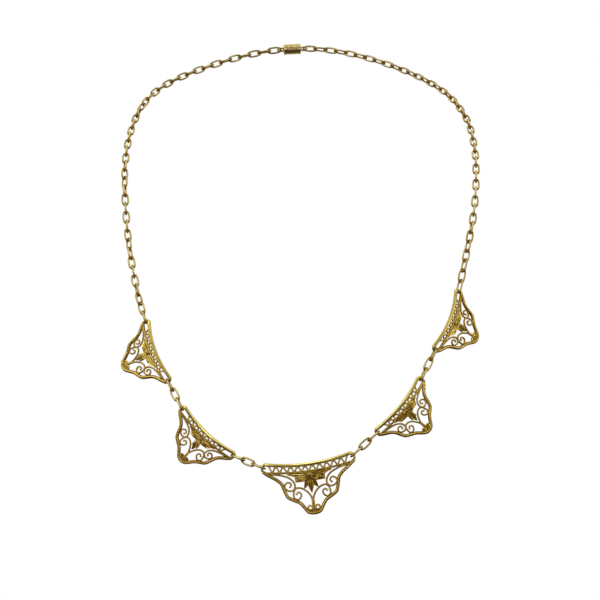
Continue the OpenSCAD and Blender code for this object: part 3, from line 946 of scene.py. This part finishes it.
# Adds a made mesh to a plaque's points, faces and levels of polish and painted light, and removes its
# object
def addMesh(points, faces, polish, obj):
    mesh = obj.data
    co = np.zeros(len(mesh.vertices) * 3)
    mesh.vertices.foreach_get("co", co)
    level = np.zeros(len(mesh.vertices))
    mesh.attributes["polish"].data.foreach_get("value", level)
    start = len(points)
    faces = faces + [tuple(start + i for i in f.vertices) for f in mesh.polygons]
    bpy.data.objects.remove(obj)
    return np.vstack([points, co.reshape(-1, 3)]), faces, polish + list(level)


def makePlaque(name):
    plaque = plaques[name]
    shells = Shells("center" if name == "plaque_center" else "side", plaque["width"])
    for addPart in (addBorder, addRim, addScrolls, addPalmette, addFoot):
        addPart(shells)
    points = bendAndPlace(shells.points, plaque)
    faces, polish = faceOutwards(points, shells.faces, shells.starts), shells.polish
    for made in makeStrip(name, plaque, shells.kind, shells.unit):
        points, faces, polish = addMesh(points, faces, polish, made)
    obj = newPiece(name + "_openwork", points, faces, polish, plaqueGold)
    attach(obj, "root")
    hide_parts(name)
    low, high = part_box(name)
    off = max(np.abs(points.min(0) - np.array(low)).max(), np.abs(points.max(0) - np.array(high)).max())
    print(obj.name, len(obj.data.polygons), "faces, box off by %.2f mm" % (off / mm))


for plaqueName in plaques:
    makePlaque(plaqueName)


# Clasp: a turned barrel with rolled edges and shallow ribs, and an eye at each end
clasp = {
    "length": 6, "diameter": 3.6, "sides": 40,
    # from the end inwards: how far inside the barrel's radius, how far from its end, level of polish and
    # painted
    # light: a highlight on the rolled edge, shade where it turns in
    "edge": [(0.55, 0, 0.6), (0.3, 0.08, 0.9), (0.05, 0.3, 1), (0, 0.55, 0.8), (0.08, 0.8, 0.2)],
    "ribs": 5, "ribSteps": 4, "ribStart": 0.95, "ribInset": 0.05, "ribDip": 0.05,
    # the ribs' dips get painted shade that deepens with their depth
    "ribPolishAndLight": 0.9, "ribShade": 6,  # polish on a rib, and how much of it a millimetre of depth takes
    "eyeRadius": 1, "eyeWire": 0.6, "eyeSink": 0.4, "eyeSteps": 36, "eyeSides": 12,
    # an eye's wire has a painted highlight on its front and back and painted shade on its sides
    "eyePolishAndLight": (0.35, 0.45)}  # least, and how much more on the crests


# Rows of the barrel from end to end: radius, place along the axis, level of polish and painted light
def barrelRows():
    h, r = clasp["length"] / 2, clasp["diameter"] / 2
    rows = [(0, -h, 0.5)] + [(r - inside, -h + along, level) for inside, along, level in clasp["edge"]]
    otherEnd = [(radius, -x, level) for radius, x, level in reversed(rows)]
    steps = clasp["ribs"] * clasp["ribSteps"]
    for k in range(steps + 1):
        t = k / steps
        dip = clasp["ribDip"] * (1 - math.cos(2 * math.pi * clasp["ribs"] * t))
        x = -h + clasp["ribStart"] + (2 * h - 2 * clasp["ribStart"]) * t
        rows.append((r - clasp["ribInset"] - dip, x, clasp["ribPolishAndLight"] - clasp["ribShade"] * dip))
    return rows + otherEnd


def addBarrel(points, faces, polish):
    rows, sides = barrelRows(), clasp["sides"]
    for radius, x, level in rows[1:-1]:
        for k in range(sides):
            a = 2 * math.pi * k / sides
            points.append((x, radius * math.cos(a), radius * math.sin(a)))
            polish.append(max(0, level))
    rings = len(rows) - 2
    faces += tubeFaces(rings, sides)
    first, last = len(points), len(points) + 1
    points += [(rows[0][1], 0, 0), (rows[-1][1], 0, 0)]
    polish += [rows[0][2], rows[-1][2]]
    for k in range(sides):
        l = (k + 1) % sides
        faces.append((first, k, l))
        faces.append((last, (rings - 1) * sides + l, (rings - 1) * sides + k))


def addEye(points, faces, polish, end):
    faces += tubeFaces(clasp["eyeSteps"], clasp["eyeSides"], start=len(points), closed=True)
    radius, wire = clasp["eyeRadius"], clasp["eyeWire"] / 2
    middle = end * (clasp["length"] / 2 - clasp["eyeSink"] + wire + radius)
    dull, shine = clasp["eyePolishAndLight"]
    for i in range(clasp["eyeSteps"]):
        a = 2 * math.pi * i / clasp["eyeSteps"]
        for k in range(clasp["eyeSides"]):
            b = 2 * math.pi * k / clasp["eyeSides"]
            reach = radius + wire * math.cos(b)
            points.append((middle + reach * math.cos(a), reach * math.sin(a), wire * math.sin(b)))
            polish.append(dull + shine * abs(math.sin(b)))


def makeClasp():
    middle, longWay, thinWay = axesOf(solidsOf("clasp")[0])
    points, faces, polish = [], [], []
    addBarrel(points, faces, polish)
    for end in (-1, 1):
        addEye(points, faces, polish, end)
    z = thinWay - longWay * (longWay @ thinWay)
    z /= np.linalg.norm(z)
    turn = np.stack([longWay, np.cross(z, longWay), z], 1)
    placed = (turn @ (np.array(points) * mm).T).T + middle
    obj = newPiece("clasp_barrel", placed, faces, polish, claspGold)
    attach(obj, "root")
    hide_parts("clasp")
    print("clasp made")


makeClasp()


# A pale floor well under the necklace, which the gold doesn't mirror
floor = {
    "height": -250, "radius": 420, "middleY": -60, "sides": 64,
    "greys": (0.86, 0.92), "mottle": 40, "rough": 0.8}


def makeFloor():
    ring = []
    for k in range(floor["sides"]):
        a = 2 * math.pi * k / floor["sides"]
        ring.append((floor["radius"] * math.cos(a), floor["radius"] * math.sin(a) + floor["middleY"],
            floor["height"]))
    mesh = bpy.data.meshes.new("floor")
    mesh.from_pydata([tuple(c * mm for c in p) for p in ring], [], [tuple(range(floor["sides"]))])
    obj = bpy.data.objects.new("floor", mesh)
    scene.collection.objects.link(obj)
    material = bpy.data.materials.new("pale floor")
    material.use_nodes = True
    nodes, links = material.node_tree.nodes, material.node_tree.links
    noise = nodes.new("ShaderNodeTexNoise")
    noise.inputs["Scale"].default_value = floor["mottle"]
    where = nodes.new("ShaderNodeTexCoord")
    tint = makeRamp(nodes, [(at, (grey, grey, grey)) for at, grey in enumerate(floor["greys"])])
    links.new(where.outputs["Object"], noise.inputs["Vector"])
    links.new(noise.outputs[0], tint.inputs[0])
    links.new(tint.outputs["Color"], nodes["Principled BSDF"].inputs["Base Color"])
    nodes["Principled BSDF"].inputs["Roughness"].default_value = floor["rough"]
    mesh.materials.append(material)
    obj.visible_glossy = False
    print("floor made")


makeFloor()
